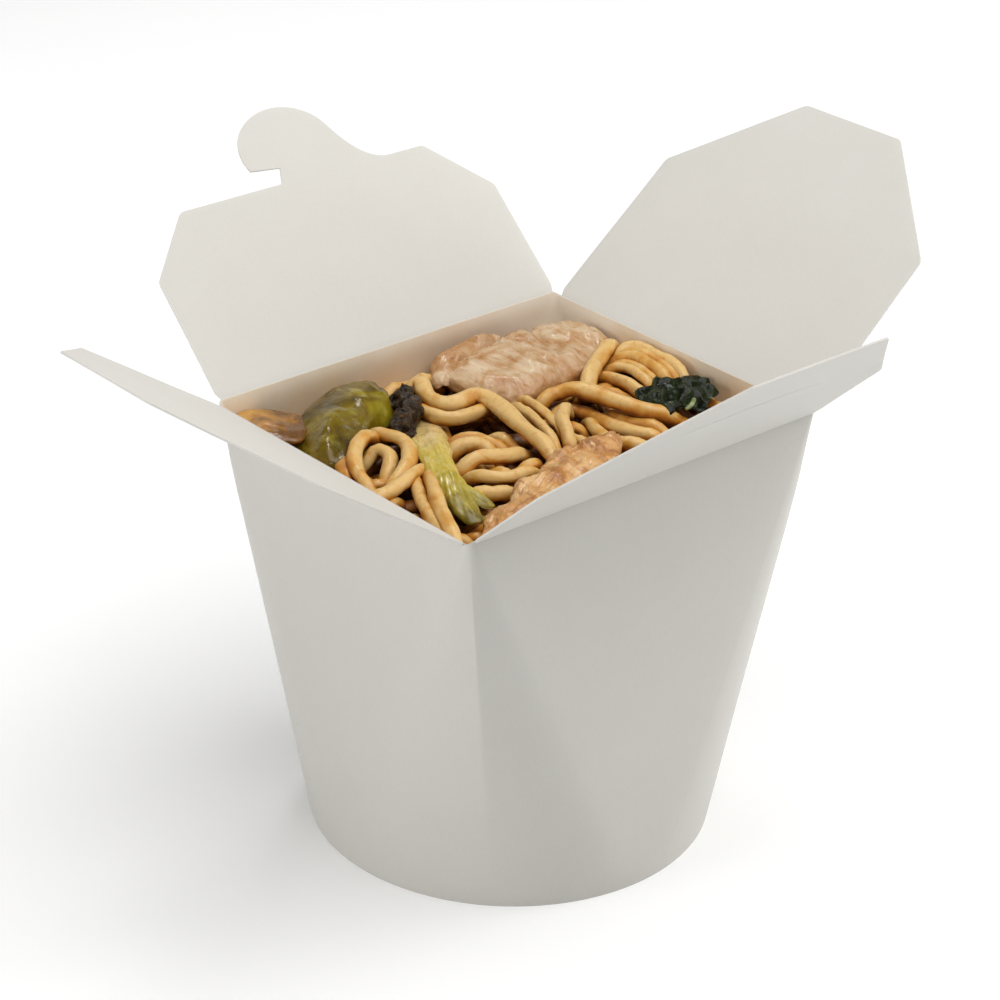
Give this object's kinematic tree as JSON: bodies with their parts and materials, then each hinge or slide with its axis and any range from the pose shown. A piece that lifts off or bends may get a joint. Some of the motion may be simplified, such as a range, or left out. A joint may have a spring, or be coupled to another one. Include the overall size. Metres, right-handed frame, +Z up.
{
  "type": "noodle takeaway box",
  "caption": "Tapered paper box with a round base and a rectangular top, its hinged flaps folded open, full of fried noodles, chicken and vegetables.",
  "frame": {"origin": "on the plane that the box stands on, under the middle of the open flaps; the box's own axis stands 1.9 mm from it along X and -0.8 mm along Y", "axes": "+Z up, +Y towards the flap with the hooked tongue, +X towards the right side flap, along the longer side of the rim"},
  "size_m": [0.21, 0.1786, 0.1438],
  "materials": {
    "box_wall": "matte",
    "base_disc": "matte",
    "flap_tab": "matte",
    "flap_slot": "matte",
    "flap_left": "matte",
    "flap_right": "matte",
    "noodles": "gloss",
    "chicken_back": "satin",
    "chicken_front": "satin",
    "pepper": "gloss",
    "mushroom": "gloss",
    "leek": "gloss",
    "spinach": "gloss",
    "carrot": "gloss"
  },
  "bodies": {
    "root": {"box_wall": "box_wall", "base_disc": "base_disc", "noodles": "noodles", "chicken_back": "chicken_back", "chicken_front": "chicken_front", "pepper": "pepper", "mushroom": "mushroom", "leek": "leek", "spinach": "spinach", "carrot": "carrot"},
    "tab_body": {"flap_tab": "flap_tab"},
    "slot_body": {"flap_slot": "flap_slot"},
    "left_body": {"flap_left": "flap_left"},
    "right_body": {"flap_right": "flap_right"}
  },
  "joints": [
    {"name": "tab_fold", "type": "hinge", "parent": "root", "child": "tab_body", "pos_m": [0.00186, 0.04229, 0.1002], "axis": [1, 0, 0], "range_deg": [-57.8, 135]},
    {"name": "slot_fold", "type": "hinge", "parent": "root", "child": "slot_body", "pos_m": [0.00186, -0.0439, 0.1002], "axis": [-1, 0, 0], "range_deg": [-57.8, 137.2]},
    {"name": "left_fold", "type": "hinge", "parent": "root", "child": "left_body", "pos_m": [-0.04815, -0.00081, 0.0994], "axis": [0, 1, 0], "range_deg": [-49.2, 147.3]},
    {"name": "right_fold", "type": "hinge", "parent": "root", "child": "right_body", "pos_m": [0.05185, -0.00081, 0.0994], "axis": [0, -1, 0], "range_deg": [-54.4, 140.6]}
  ]
}
